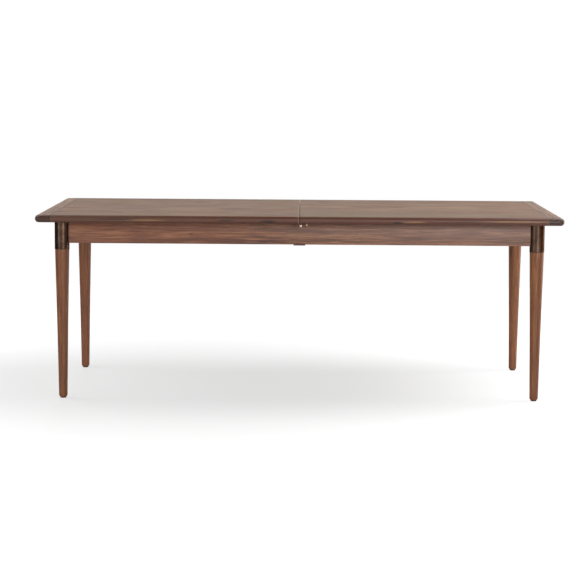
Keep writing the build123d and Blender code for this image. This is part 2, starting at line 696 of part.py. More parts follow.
def leaf_pins():
    made = []
    for x in pin_places():
        start = (x, LEAF_HALF_WIDTH - PIN_IN + 0.5, LEAF_MIDDLE_Z)
        peg = rod(start, Y_AXIS, PIN_RADIUS, PIN_IN - 0.5 + PIN_OUT)
        made.append(chamfer(peg.edges().filter_by(GeomType.CIRCLE), 1.2))
    return made


# ================================================================ table locks
def lock_screw_places(half, face):
    """Two screws through the plate on that half: the base on the right, the keeper on the left."""
    places = BASE_SCREWS if half > 0 else KEEPER_SCREWS
    return [(Vector(x, face * LOCK_Y + dy, UNDERSIDE_Z - LOCK_PLATE), Z_AXIS) for x, dy in places]


def lock_plate(xs, half, face):
    """Plate with round corners, screwed flat to the underside of the top."""
    plate = slab(
        xs,
        (face * LOCK_Y - LOCK_PLATE_WIDTH / 2, face * LOCK_Y + LOCK_PLATE_WIDTH / 2),
        (UNDERSIDE_Z - LOCK_PLATE, UNDERSIDE_Z),
    )
    plate = fillet(plate.edges().filter_by(Axis.Z), PLATE_CORNER)
    bores = [screw_bore(s, d, LOCK_SCREW_LENGTH, LOCK_SCREW_RADIUS) for s, d in lock_screw_places(half, face)]
    return cut_all(plate, bores)


def headed_post(x, face, radius, head_radius, head_top_z):
    """A post that hangs from a plate and ends in a flat head."""
    top = UNDERSIDE_Z - LOCK_PLATE
    shank = rod((x, face * LOCK_Y, head_top_z), Z_AXIS, radius, top - head_top_z)
    head = rod((x, face * LOCK_Y, head_top_z - HEAD_THICK), Z_AXIS, head_radius, HEAD_THICK)
    head = fillet(head.edges().sort_by(Axis.Z)[0], 0.7)
    return shank + head


def lock_base(face):
    """Base plate and pivot post, on the right half."""
    post = headed_post(LOCK_PIVOT_X, face, PIVOT_RADIUS, PIVOT_HEAD_RADIUS, LEVER_LOW_Z - PIVOT_HEAD_DROP)
    return lock_plate(LOCK_BASE_X, 1, face) + post


def lock_keeper(face):
    """Keeper plate and post, on the left half."""
    post_x = LOCK_PIVOT_X - LOCK_REACH
    post = headed_post(post_x, face, POST_RADIUS, POST_HEAD_RADIUS, LEVER_LOW_Z - POST_HEAD_DROP)
    return lock_plate(KEEPER_X, -1, face) + post


def lock_lever(face):
    """Lever with a down-turned finger tab, swung clear of the keeper.

    Its notch is an arc about the pivot, so that it sweeps onto the keeper's post.
    """
    arm = Pos(-LEVER_TIP / 2, 0) * RectangleRounded(LEVER_TIP, 2 * LEVER_HALF_WIDTH, LEVER_CORNER)
    arm += Circle(HUB_RADIUS)
    play = POST_RADIUS + NOTCH_PLAY
    ring = Circle(LOCK_REACH + play) - Circle(LOCK_REACH - play)
    sweep_side = Pos(-LOCK_REACH, -face * LOCK_REACH / 2) * Rectangle(LOCK_REACH / 2, LOCK_REACH)
    notch = (ring & sweep_side) + Pos(-LOCK_REACH, 0) * Circle(play)
    body = extrude(Plane.XY.offset(LEVER_LOW_Z) * (arm - notch), LEVER_THICK)
    hub = rod((0, 0, LEVER_LOW_Z - HUB_DROP), Z_AXIS, HUB_RADIUS, HUB_HEIGHT)
    hub = chamfer(hub.edges().filter_by(GeomType.CIRCLE), SMALL_CHAMFER)
    tab = slab(
        (-LEVER_TIP, -LEVER_TIP + TAB_THICK),
        (-TAB_HALF_WIDTH, TAB_HALF_WIDTH),
        (LEVER_LOW_Z - TAB_DROP, LEVER_LOW_Z + 0.5),
    )
    tab = fillet(tab.edges().filter_by(Axis.X).sort_by(Axis.Z)[:2], LEVER_CORNER)
    body = body + hub + tab
    body -= rod((0, 0, LEVER_LOW_Z - HUB_DROP - 1), Z_AXIS, PIVOT_RADIUS + SMALL_PLAY, HUB_HEIGHT + 2)
    turned = Rot(0, 0, -face * LOCK_OPEN_DEG) * body
    return Pos(LOCK_PIVOT_X, face * LOCK_Y, 0) * turned


# ================================================================ assembly
def write_frame():
    bolts, washers_and_nuts, screws, glides = [], [], [], []
    for name, (sx, sy) in CORNERS.items():
        save(f"leg_{name}", leg(sx, sy))
        save(f"leg_sleeve_{name}", leg_sleeve(sx, sy))
        save(f"corner_block_{name}", corner_block(sx, sy))
        glides.append(foot_glide(sx, sy))
        bolt, washer, nut = corner_fasteners(sx, sy)
        bolts.append(bolt)
        washers_and_nuts += [washer, nut]
        screws += [screw(s, d, CORNER_SCREW_LENGTH) for s, d in corner_screw_places(sx, sy)]
    save("foot_glides", *glides)
    save("corner_hanger_bolts", *bolts)
    save("corner_nuts_and_washers", *washers_and_nuts)
    save("corner_block_screws", *screws)
    for name, face in FACES.items():
        save(f"{name}_apron", long_apron(face))
    channel_screws = []
    for name, half in HALVES.items():
        save(f"{name}_apron", end_apron(half))
        save(f"{name}_cross_rail", cross_rail(half))
        for face_name, face in FACES.items():
            save(f"slide_channel_{face_name}_{name}", slide_channel(half, face))
            channel_screws += [
                screw(s, d, SLIDE_SCREW_LENGTH, SLIDE_SCREW_RADIUS) for s, d in slide_screw_places(half, face)
            ]
    save("slide_channel_screws", *channel_screws)
    save("cross_rail_dowels", *rail_dowels())
    save("cross_rail_felts", *rail_felts())
    save("leaf_stop_blocks", *leaf_stops())
    save("centre_brace", centre_brace())
    save("centre_brace_screws", *[screw(s, d, BRACE_SCREW_LENGTH) for s, d in brace_screw_places()])


def write_top(name, half):
    save(f"{name}_top_panel", top_panel(half))
    save(f"{name}_end_board", end_board(half))
    screws, brass_screws = [], []
    for face_name, face in FACES.items():
        save(f"{name}_{face_name}_batten", batten(half, face))
        save(f"slide_runner_{face_name}_{name}", slide_runner(half, face))
        screws += [screw(s, d, BATTEN_SCREW_LENGTH) for s, d in batten_screw_places(half, face)]
        screws += [
            screw(s, d, SLIDE_SCREW_LENGTH, SLIDE_SCREW_RADIUS) for s, d in runner_screw_places(half, face)
        ]
        brass_screws += [
            screw(s, d, LOCK_SCREW_LENGTH, LOCK_SCREW_RADIUS) for s, d in lock_screw_places(half, face)
        ]
    save(f"{name}_top_screws", *screws)
    save(f"{name}_lock_screws", *brass_screws)
    save(f"{name}_ball_cages", *ball_cages(half))


def write_locks():
    for name, face in FACES.items():
        save(f"{name}_lock_base", lock_base(face))
        save(f"{name}_lock_keeper", lock_keeper(face))
        save(f"{name}_lock_lever", lock_lever(face))


def main():
    os.makedirs("parts", exist_ok=True)
    write_frame()
    for name, half in HALVES.items():
        write_top(name, half)
    save("alignment_pins", *alignment_pins())
    write_locks()
    save("extension_leaf", extension_leaf())
    save("leaf_alignment_pins", *leaf_pins())


main()
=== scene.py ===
"""Looks of the extendable dining table: walnut top, aprons and legs, bronze sleeves, brass locks.

Metres, in the same frame as the CAD model: X along the table, -Y to the front, Z up from the floor.
Every board and turned piece is a stack of closed outlines joined by faces.
"""

import json
import math

import bmesh
import bpy
import numpy as np
from mathutils import Matrix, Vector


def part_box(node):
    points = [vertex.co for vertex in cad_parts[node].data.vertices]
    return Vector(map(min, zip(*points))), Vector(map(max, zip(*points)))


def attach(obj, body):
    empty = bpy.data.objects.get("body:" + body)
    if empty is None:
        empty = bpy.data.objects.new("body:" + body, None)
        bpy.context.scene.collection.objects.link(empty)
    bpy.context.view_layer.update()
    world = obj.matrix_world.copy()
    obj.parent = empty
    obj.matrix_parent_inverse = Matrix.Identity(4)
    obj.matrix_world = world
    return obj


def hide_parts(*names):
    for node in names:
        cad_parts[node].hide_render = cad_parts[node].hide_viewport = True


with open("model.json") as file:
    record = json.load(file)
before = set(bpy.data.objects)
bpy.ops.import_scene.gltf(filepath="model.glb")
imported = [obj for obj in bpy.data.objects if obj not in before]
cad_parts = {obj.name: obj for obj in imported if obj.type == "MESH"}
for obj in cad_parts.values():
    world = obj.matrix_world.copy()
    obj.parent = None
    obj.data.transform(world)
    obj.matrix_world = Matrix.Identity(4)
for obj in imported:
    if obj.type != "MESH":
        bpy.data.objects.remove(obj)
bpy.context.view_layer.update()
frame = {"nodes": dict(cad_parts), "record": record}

MM = 0.001
HALVES = {"left": -1, "right": 1}
FACES = {"front": -1, "back": 1}
CORNERS = {"front_left": (-1, -1), "front_right": (1, -1), "back_left": (-1, 1), "back_right": (1, 1)}

# ---------------------------------------------------------------- shapes, in metres
FRONT_EDGE = -0.508
APRON_FACE = -0.405
EDGE_ROUND = 14.6 * MM
CORNER_ROUND = 20 * MM
ARRIS = 0.7 * MM
APRON_ROUND = 1.5 * MM
APRON_TOP_ROUND = 0.4 * MM
COPE_RADIUS = 30.15 * MM
PIN_SOCKET_RADIUS = 4.3 * MM
PIN_SOCKET_DEPTH = 14 * MM
PIN_Y = (-0.4, 0.0, 0.4)
LEG_X, LEG_Y = 0.97, 0.394
SHARP_ANGLE = math.radians(32)
SAME_POINT = 1e-7
TURNED_SIDES = 96
SOCKET_SIDES = 24


# ================================================================ mesh tools
def add_mesh(name, points, faces):
    """An object from points and faces, with its faces turned outwards and its sharp edges kept."""
    mesh = bpy.data.meshes.new(name)
    mesh.from_pydata(np.asarray(points, float).tolist(), [], faces)
    mesh.update()
    work = bmesh.new()
    work.from_mesh(mesh)
    bmesh.ops.remove_doubles(work, verts=work.verts, dist=SAME_POINT)
    bmesh.ops.recalc_face_normals(work, faces=work.faces)
    work.to_mesh(mesh)
    work.free()
    mesh.polygons.foreach_set("use_smooth", np.ones(len(mesh.polygons), bool))
    mesh.set_sharp_from_angle(angle=SHARP_ANGLE)
    obj = bpy.data.objects.new(name, mesh)
    bpy.context.scene.collection.objects.link(obj)
    return obj


def side_faces(loops, around):
    """Quads between neighbouring closed loops of the same number of points."""
    level, step = np.meshgrid(np.arange(loops - 1), np.arange(around), indexing="ij")
    nearby = (step + 1) % around
    a, b = level * around + step, level * around + nearby
    quads = np.stack([a, b, b + around, a + around], axis=-1)
    return quads.reshape(-1, 4).tolist()


def ladder_faces(first, around):
    """Quads across an end whose points go out along one edge and come back along the other."""
    step = np.arange(around // 2 - 1)
    last = first + around - 1 - step
    return np.stack([first + step, first + step + 1, last - 1, last], axis=-1).tolist()


def stack(name, loops, ladder=False, start=True, extra=None):
    """Closed outlines joined in order: P[k, j] is point j of outline k; both ends get a flat cap.

    ladder caps both ends with quads; start=False leaves the first end to extra, more points and faces.
    """
    loops = np.asarray(loops, float)
    count, around = loops.shape[:2]
    points = loops.reshape(-1, 3)
    faces = side_faces(count, around)
    last = (count - 1) * around
    if ladder:
        faces += ladder_faces(0, around) + ladder_faces(last, around)
    else:
        if start:
            faces.append(list(range(around)))
        faces.append(list(range(last, last + around)))
    if extra:
        more_points, more_faces = extra
        points = np.vstack([points, more_points])
        faces += more_faces
    return add_mesh(name, points, faces)


def quarter(steps):
    """Angles from 0 to 90 degrees."""
    return np.linspace(0, math.pi / 2, steps)


def stadium(low, high, bottom, top, stops=()):
    """Section of a board with full-round edges, as (across, up) points, anticlockwise from the lower left.

    The flats run between low + r and high - r; each end is a half turn of radius r about the middle.
    """
    r, h = EDGE_ROUND, (top - bottom) / 2
    middle = (top + bottom) / 2
    turn = quarter(9)
    rise = h - r
    flat = np.array(sorted([low + r, high - r, *stops]))
    right = np.concatenate([turn - math.pi / 2, turn])
    arc_x = high - r + r * np.cos(right)
    arc_z = middle + r * np.sin(right) + np.where(np.arange(len(right)) < len(turn), -rise, rise)
    lower = np.column_stack([flat, np.full(len(flat), bottom)])
    upper = np.column_stack([flat[::-1], np.full(len(flat), top)])
    out = np.column_stack([arc_x, arc_z])
    back = np.column_stack([low + high - arc_x[::-1], arc_z[::-1]])
    return np.vstack([lower, out[1:-1], upper, back[1:-1]])


def along_axis(section, stations, swap):
    """Loops of a section at each (position, ceiling): points above the ceiling are brought down to it."""
    made = []
    for position, ceiling in stations:
        up = np.minimum(section[:, 1], ceiling)
        across, run = section[:, 0], np.full(len(section), position)
        made.append(np.column_stack([across, run, up] if swap else [run, across, up]))
    return made


def socketed_end(section, loops, run, inward, swap):
    """The flat end of a board with a round socket for each pin, as more points and faces for a stack.

    Rim and floor of a socket are circles: across = pin + r cos t, up = middle + r sin t. Between two
    sockets the face is bounded by the board's outline and half of each rim.
    """
    around = len(section)
    bottom, top = section[:, 1].min(), section[:, 1].max()
    turns = np.linspace(0, 2 * math.pi, SOCKET_SIDES + 1)[:-1] - math.pi / 2
    up = (bottom + top) / 2 + PIN_SOCKET_RADIUS * np.sin(turns)
    points, faces, rims = [], [], []
    for i, pin in enumerate(PIN_Y):
        across = pin + PIN_SOCKET_RADIUS * np.cos(turns)
        for depth in (0.0, PIN_SOCKET_DEPTH):
            level = np.full(SOCKET_SIDES, run + inward * depth)
            points.append(np.column_stack([across, level, up] if swap else [level, across, up]))
        rim = around * loops + 2 * SOCKET_SIDES * i + np.arange(SOCKET_SIDES)
        faces += (np.array(side_faces(2, SOCKET_SIDES)) + rim[0]).tolist()
        faces.append((rim + SOCKET_SIDES).tolist())
        rims.append(rim)

    def nearest(chosen):
        """For each pin, the outline point beside it among the chosen ones."""
        return [chosen[np.argmin(np.abs(section[chosen, 0] - pin))] for pin in PIN_Y]

    def outline(a, b):
        """Outline points from a to b, going round."""
        return ((a + np.arange((b - a) % around + 1)) % around).tolist()

    low = nearest(np.flatnonzero(section[:, 1] - bottom < SAME_POINT))
    high = nearest(np.flatnonzero(top - section[:, 1] < SAME_POINT))
    half = SOCKET_SIDES // 2
    right = [rim[half::-1].tolist() for rim in rims]
    left = [np.roll(rim[::-1], 1)[: half + 1].tolist() for rim in rims]
    faces.append(outline(high[0], low[0]) + left[0])
    for i in range(len(PIN_Y) - 1):
        faces.append(outline(low[i], low[i + 1]) + left[i + 1] + outline(high[i + 1], high[i]) + right[i])
    faces.append(outline(low[-1], high[-1]) + right[-1])
    return np.vstack(points), faces


def lathe(name, centre, profile):
    """Surface of revolution: x = cx + r cos t, y = cy + r sin t, z, for each (r, z) of the profile."""
    profile = np.asarray(profile, float)
    turns = np.linspace(0, 2 * math.pi, TURNED_SIDES + 1)[:-1]
    x = centre[0] + profile[:, :1] * np.cos(turns)
    y = centre[1] + profile[:, :1] * np.sin(turns)
    z = np.repeat(profile[:, 1:], TURNED_SIDES, axis=1)
    return stack(name, np.stack([x, y, z], axis=-1))


def size_of(node):
    """Lowest and highest x, y and z of a CAD node, as three pairs."""
    low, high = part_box(node)
    return [(low[i], high[i]) for i in range(3)]


# ================================================================ shader tools
class Value:
    """A shader socket that takes part in sums, products and powers."""

    def __init__(self, maker, socket):
        self.maker, self.socket = maker, socket

    def __add__(self, other):
        return self.maker.sum("ADD", self, other)

    def __sub__(self, other):
        return self.maker.sum("SUBTRACT", self, other)

    def __mul__(self, other):
        return self.maker.sum("MULTIPLY", self, other)

    def __truediv__(self, other):
        return self.maker.sum("DIVIDE", self, other)

    def __rsub__(self, other):
        return self.maker.sum("SUBTRACT", other, self)

    def __pow__(self, other):
        return self.maker.sum("POWER", self, other)

    def __rtruediv__(self, other):
        return self.maker.sum("DIVIDE", other, self)

    def __rpow__(self, other):
        return self.maker.sum("POWER", other, self)

    __radd__ = __add__
    __rmul__ = __mul__


class Maker:
    """Builds the nodes of one material or world: every node comes from add()."""

    def __init__(self, owner):
        owner.use_nodes = True
        self.owner, self.tree = owner, owner.node_tree
        self.tree.nodes.clear()

    def add(self, kind, settings=None, values=None, out=0):
        """A node of that kind: its settings first, then its values and links; gives one output, if any."""
        node = self.tree.nodes.new("ShaderNode" + kind)
        for key, value in (settings or {}).items():
            setattr(node, key, value)
        for key, value in (values or {}).items():
            if isinstance(value, Value):
                self.tree.links.new(value.socket, node.inputs[key])
            else:
                node.inputs[key].default_value = value
        return Value(self, node.outputs[out]) if node.outputs else None

    def sum(self, operation, a, b=0.0):
        """One step of arithmetic on numbers."""
        return self.add("Math", {"operation": operation}, {0: a, 1: b})

    def split(self, vector):
        """The three numbers of a vector."""
        parts = self.add("SeparateXYZ", None, {0: vector})
        return [Value(self, parts.socket.node.outputs[i]) for i in range(3)]

    def join(self, x, y, z):
        return self.add("CombineXYZ", None, {0: x, 1: y, 2: z})

    def vector(self, operation, a, b):
        """One step of arithmetic on vectors."""
        return self.add("VectorMath", {"operation": operation}, {0: a, 1: b})

    def length(self, vector):
        return self.add("VectorMath", {"operation": "LENGTH"}, {0: vector}, "Value")

    def place(self):
        """Object coordinates: metres in the table's frame."""
        return self.split(self.add("TexCoord", None, None, "Object"))

    def noise(self, vector, scale, detail=3.0, rough=0.55, bend=0.0):
        values = {"Vector": vector, "Scale": scale, "Detail": detail, "Roughness": rough, "Distortion": bend}
        return self.add("TexNoise", {"noise_dimensions": "3D"}, values)

    def chance(self, value):
        """Three random numbers for each whole value."""
        node = self.add("TexWhiteNoise", {"noise_dimensions": "1D"}, {"W": value}, "Color")
        return self.split(node)

    def fade(self, value, low, high, to_low=0.0, to_high=1.0):
        """Smoothly from to_low to to_high as value goes from low to high."""
        settings = {"interpolation_type": "SMOOTHSTEP"}
        values = {0: value, 1: low, 2: high, 3: to_low, 4: to_high}
        return self.add("MapRange", settings, values)

    def mix(self, share, a, b):
        """Colour a where share is 0, colour b where it is 1."""
        settings = {"data_type": "RGBA", "blend_type": "MIX", "clamp_result": False}
        return self.add("Mix", settings, {0: share, 6: a, 7: b}, 2)

    def bump(self, height, strength, distance):
        return self.add("Bump", None, {"Strength": strength, "Distance": distance, "Height": height})

    def finish(self, **sockets):
        """Principled surface; underscores in the names stand for spaces."""
        values = {key.replace("_", " "): value for key, value in sockets.items()}
        self.add("OutputMaterial", None, {"Surface": self.add("BsdfPrincipled", None, values)})
        return self.owner


def colour(code):
    """Linear colour, opaque, from a six-digit display colour."""
    parts = [int(code[i : i + 2], 16) / 255 for i in (0, 2, 4)]
    linear = [c / 12.92 if c <= 0.04045 else ((c + 0.055) / 1.055) ** 2.4 for c in parts]
    return (*linear, 1.0)


def grey(level):
    """Opaque grey of that linear brightness."""
    return (level, level, level, 1.0)


# ================================================================ wood
WALNUT = (colour("4a2e21"), colour("7d5039"), colour("a37350"))
WALNUT_TOP = (colour("4f3122"), colour("7f543b"), colour("a27650"))
WALNUT_END = (colour("583f30"), colour("8a6853"), colour("ab876a"))
WALNUT_RED = (colour("4b2915"), colour("79441f"), colour("9f6631"))
MAUVE = colour("826052")
OLIVE = colour("7b6746")
RUST = colour("8e5236")
GOLD = colour("a27b4c")
VOID = colour("21150f")
END_GRAIN = colour("2c1a12")
# Painted shade: the colour that darkens the shoulder and the underside of the rounded edges
EDGE_SHADE_PAINT = colour("401e10")
NOSE_RED = colour("572c20")
NOSE_MIDDLE = 0.747
# Painted highlight: pale colour for the line beside the seam
SEAM_HIGHLIGHT_PAINT = colour("c9b09a")
AXES = {"X": (0, 1, 2), "Y": (1, 0, 2), "Z": (2, 0, 1), "XZ": (0, 2, 1), "YZ": (1, 2, 0)}


class Wood:
    """How one wooden surface looks: the way its grain runs, its boards, its colours, its marks and the
    painted shade on its rounded edges.
    """

    def __init__(self, grain, seed, **more):
        self.grain, self.seed = grain, seed
        self.board = more.get("board", 0.0)
        self.start = more.get("start", 0.0)
        self.centre = more.get("centre", (0.0, 0.0, 0.0))
        self.palette = more.get("palette", WALNUT)
        self.tint = more.get("tint", MAUVE)
        self.blush = more.get("blush", 0.35)
        self.rough = more.get("rough", 0.42)
        self.contrast = more.get("contrast", 1.0)
        self.end_grain = more.get("end_grain")
        # How strongly painted shade darkens the rounded edges; 0 for none
        self.painted_edge_shade = more.get("painted_edge_shade", 0.0)
        self.marks = more.get("marks", ())
        self.lines = more.get("lines", ())


class Mark:
    """A soft-edged patch of another colour: an egg of half sizes `reach` about a point."""

    def __init__(self, shade, at, reach, share):
        self.shade, self.at, self.reach, self.share = shade, at, reach, share


def boards(m, look, along, across):
    """Boards side by side: each has its own piece of the pattern, its own tone and a fine glue line."""
    if not look.board:
        drift = 0.5 + 0.3 * math.sin(look.seed * 5.1)
        return along + look.seed * 3.71, across + look.seed * 1.37, drift, 0.5, None
    place = (across - look.start) / look.board
    index = m.sum("FLOOR", place)
    within = place - index - 0.5
    glue = m.fade(m.sum("ABSOLUTE", within), 0.4925, 0.4975)
    first, second, tone = m.chance(index + look.seed * 17.0)
    return along + second * 5.0, within * look.board + first * 0.35, first, tone, glue


def marked(m, look, point, streak, base):
    """Knots, stains and lines laid over the grain, their edges frayed along it; some lines are painted shade
    and a painted highlight at the seam.
    """
    for mark in look.marks:
        off = m.vector("SUBTRACT", point, mark.at)
        off = m.vector("DIVIDE", off, mark.reach)
        far = m.length(off) + (streak - 0.5) * 1.1
        base = m.mix(m.fade(far, 1.25, 0.45, 0.0, mark.share), base, mark.shade)
    # Lines across the length: real dark joints, and painted shade and a painted highlight at the seam
    for shade, at, reach, share in look.lines:
        off = m.sum("ABSOLUTE", m.split(point)[0] - at)
        base = m.mix(m.fade(off, reach, reach * 0.6, 0.0, share), base, shade)
    return base


def wood(name, look):
    """Planed and lacquered wood.

    Growth rings are surfaces of equal r = sqrt(u^2 + v^2) about a pith below the board that tilts along
    it, pushed about by noise. Bands, streaks, fibres and pores are noise drawn out along the grain.
    """
    m = Maker(bpy.data.materials.new(name))
    spot = m.place()
    point = m.join(*spot)
    local = [part - c for part, c in zip(spot, look.centre)]
    along, across, deep = [local[i] for i in AXES[look.grain]]
    along, across, drift, tone, glue = boards(m, look, along, across)

    waver = m.noise(m.join(along * 1.3, across * 4.0, deep * 4.0), 1.0, 2.0) - 0.5
    ripple = m.noise(m.join(along * 7.0, across * 22.0, deep * 22.0), 1.0, 3.0) - 0.5
    u = across + 0.02 + waver * 0.07 + ripple * 0.005
    v = deep + 0.05 + drift * 0.05 + waver * 0.04 + along * 0.010
    radius = m.sum("SQRT", u * u + v * v)
    ring = m.sum("SINE", radius * (2 * math.pi * 150.0) + waver * 9.0) * 0.5 + 0.5
    late = ring**3.0

    band = m.noise(m.join(along * 0.8, radius * 34.0, drift), 1.0, 3.0, 0.6, 0.2)
    streak = m.noise(m.join(along * 3.2, u * 130.0, v * 90.0), 1.0, 4.0, 0.65)
    flame = m.noise(m.join(along * 9.0, across * 170.0, deep * 170.0), 1.0, 4.0, 0.6, 0.3)
    fibre = m.noise(m.join(along * 26.0, across * 900.0, deep * 900.0), 1.0, 2.0, 0.6)
    pore = m.fade(m.noise(m.join(along * 70.0, across * 1500.0, deep * 1500.0), 1.0, 1.0), 0.60, 0.70)

    body = (band - 0.5) * 0.9 + (streak - 0.5) * 1.1 + (flame - 0.5) * 1.2 + (fibre - 0.5) * 0.35
    body = body * look.contrast + (tone - 0.5) * 0.16 + 0.5
    dark, middle, light = look.palette
    base = m.mix(m.fade(body, 0.05, 0.5), dark, middle)
    base = m.mix(m.fade(body, 0.5, 0.95), base, light)
    hue = m.noise(m.join(along * 0.9, across * 9.0, deep * 9.0), 1.0, 2.0)
    base = m.mix(m.fade(hue, 0.38, 0.66, 0.0, look.blush), base, look.tint)
    base = m.mix(late * (0.30 * look.contrast), base, dark)
    base = m.mix(pore * 0.35, base, VOID)
    if glue is not None:
        base = m.mix(glue * 0.30, base, VOID)
    if look.end_grain:
        ends = m.fade(m.sum("ABSOLUTE", spot[1]), look.end_grain[0], look.end_grain[1], 0.0, 0.9)
        base = m.mix(ends, base, END_GRAIN)
    # Painted shade on the rounded edges: strongest where the rounding turns up and where it turns down,
    # about a third as strong in the middle band that faces out, none on the flat top and bottom
    if look.painted_edge_shade:
        off = m.sum("ABSOLUTE", spot[2] - NOSE_MIDDLE)
        edge_shade_mask = m.fade(off, 0.003, 0.010, 0.35, 1.0) * m.fade(off, 0.01495, 0.0142, 0.0, look.painted_edge_shade)
        base = m.mix(edge_shade_mask, base, EDGE_SHADE_PAINT)
    base = marked(m, look, point, streak, base)

    wear = m.noise(point, 7.0, 4.0)
    rough = (wear - 0.5) * 0.14 + (fibre - 0.5) * 0.12 + pore * 0.15 + late * 0.04 + look.rough
    height = (fibre - 0.5) * 0.4 - pore - late * 0.25
    if glue is not None:
        height = height - glue * 1.5
    return m.finish(Base_Color=base, Roughness=rough, Normal=m.bump(height, 0.35, 0.00012))


# ================================================================ metals, plastic and felt
def metal(name, shade, deep_shade, rough, scratch, axis="Z", edge=None):
    """Plated metal: hairline scratches drawn out along one axis, and a slow change of tone."""
    m = Maker(bpy.data.materials.new(name))
    spot = m.place()
    where = m.join(*spot)
    drawn = [part * (20.0 if letter == axis else 900.0) for part, letter in zip(spot, "XYZ")]
    hair = m.noise(m.join(*drawn), 1.0, 3.0)
    cloud = m.noise(where, 26.0, 4.0)
    spots = m.fade(m.noise(where, 320.0, 2.0), 0.62, 0.72)
    base = m.mix(m.fade(cloud, 0.3, 0.7), shade, deep_shade)
    base = m.mix(spots * 0.12, base, deep_shade)
    grip = rough + (hair - 0.5) * scratch + (cloud - 0.5) * 0.10
    normal = m.bump(hair, 0.06, 0.00006)
    sockets = {"Base_Color": base, "Roughness": grip, "Metallic": 1.0, "Normal": normal}
    if edge:
        sockets["Specular_Tint"] = edge
    return m.finish(**sockets)


def plastic(name, shade, deep_shade, rough):
    """Moulded plastic or paint with fine orange peel and faint scuffs."""
    m = Maker(bpy.data.materials.new(name))
    where = m.join(*m.place())
    peel = m.noise(where, 900.0, 2.0)
    scuff = m.fade(m.noise(where, 60.0, 5.0, 0.7), 0.52, 0.72)
    base = m.mix(scuff * 0.5, shade, deep_shade)
    normal = m.bump(peel, 0.2, 0.00008)
    return m.finish(Base_Color=base, Roughness=rough + scuff * 0.2, Normal=normal)


def felt(name, shade, deep_shade):
    """Pressed felt: tangled fibres at two sizes."""
    m = Maker(bpy.data.materials.new(name))
    where = m.join(*m.place())
    tangle = m.noise(where, 700.0, 6.0, 0.7, 1.5)
    clump = m.noise(where, 90.0, 3.0)
    base = m.mix(m.fade(tangle * 0.6 + clump * 0.4, 0.35, 0.65), deep_shade, shade)
    return m.finish(Base_Color=base, Roughness=0.95, Normal=m.bump(tangle, 0.8, 0.0004), Sheen_Weight=0.4)


# ================================================================ the tops
def top_panel(name, half):
    """The long-grain field of one half: a full-round section swept along X, eased at both its ends."""
    node = f"{name}_top_panel"
    xs, ys, zs = size_of(node)
    end = size_of(f"{name}_end_board")[0]
    joint = end[1] if half < 0 else end[0]
    seam = xs[1] if half < 0 else xs[0]
    section = stadium(ys[0], ys[1], zs[0], zs[1], PIN_Y)
    top = zs[1]
    stations = [(seam, top - ARRIS), (seam + half * ARRIS, top)]
    inner = np.linspace(seam + half * 0.02, joint - half * 0.02, 12)
    stations += [(v, top) for v in inner]
    stations += [(joint - half * ARRIS, top), (joint, top - ARRIS)]
    loops = along_axis(section, stations, False)
    extra = socketed_end(section, len(loops), seam, half, False)
    obj = stack(f"{name}_field_boards", loops, start=False, extra=extra)
    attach(obj, f"{name}_top")
    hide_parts(node)
    return obj


def end_board(name, half):
    """Cross-grain end board: outlines drawn in by e(f) = r (1 - cos f) at heights z(f) = r sin f."""
    node = f"{name}_end_board"
    xs, ys, zs = size_of(node)
    inner, outer = (xs[1], xs[0]) if half < 0 else (xs[0], xs[1])
    r, big = EDGE_ROUND, CORNER_ROUND
    turn = quarter(13)
    cx = outer - half * big
    arc_a = np.column_stack([cx + half * big * np.sin(turn), ys[0] + big - big * np.cos(turn)])
    arc_b = np.column_stack([cx + half * big * np.cos(turn), ys[1] - big + big * np.sin(turn)])
    out_a = np.column_stack([half * np.sin(turn), -np.cos(turn)])
    out_b = np.column_stack([half * np.cos(turn), np.sin(turn)])
    path = np.vstack([[inner, ys[0]], arc_a, arc_b, [inner, ys[1]]])
    out = np.vstack([[0, -1], out_a, out_b, [0, 1]])
    meet = math.asin(1 - ARRIS / r)
    upper = np.unique(np.concatenate([quarter(11), [meet]]))[::-1]
    levels = [(r * (1 - math.cos(f)), zs[1] - r + r * math.sin(f)) for f in upper]
    levels += [(r * (1 - math.cos(f)), zs[0] + r - r * math.sin(f)) for f in quarter(11)]
    loops = []
    for inset, z in levels:
        loop = path - out * inset
        ease = max(0.0, z - (zs[1] - ARRIS))
        loop[[0, -1], 0] = inner + half * ease
        loops.append(np.column_stack([loop, np.full(len(loop), z)]))
    obj = stack(f"{name}_cross_board", loops)
    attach(obj, f"{name}_top")
    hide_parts(node)
    return obj


def leaf_board():
    """The stored leaf: the same section as the top, swept across Y."""
    xs, ys, zs = size_of("extension_leaf")
    section = stadium(xs[0], xs[1], zs[0], zs[1], PIN_Y)
    top = zs[1]
    stations = [(ys[0], top - ARRIS), (ys[0] + ARRIS, top), (ys[1] - ARRIS, top), (ys[1], top - ARRIS)]
    loops = along_axis(section, stations, True)
    extra = socketed_end(section, len(loops), ys[0], 1, True)
    obj = stack("leaf_board", loops, start=False, extra=extra)
    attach(obj, "leaf")
    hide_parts("extension_leaf")
    return obj


# ================================================================ the frame
def eased_heights(across, half_width, bottom, top, low_round, high_round):
    """Bottom and top height of a board at each place across it, with rounded long edges."""
    inset_low = np.clip(np.abs(across) - (half_width - low_round), 0, low_round)
    inset_high = np.clip(np.abs(across) - (half_width - high_round), 0, high_round)
    low = bottom + low_round - np.sqrt(np.maximum(low_round**2 - inset_low**2, 0))
    high = top - high_round + np.sqrt(np.maximum(high_round**2 - inset_high**2, 0))
    return low, high


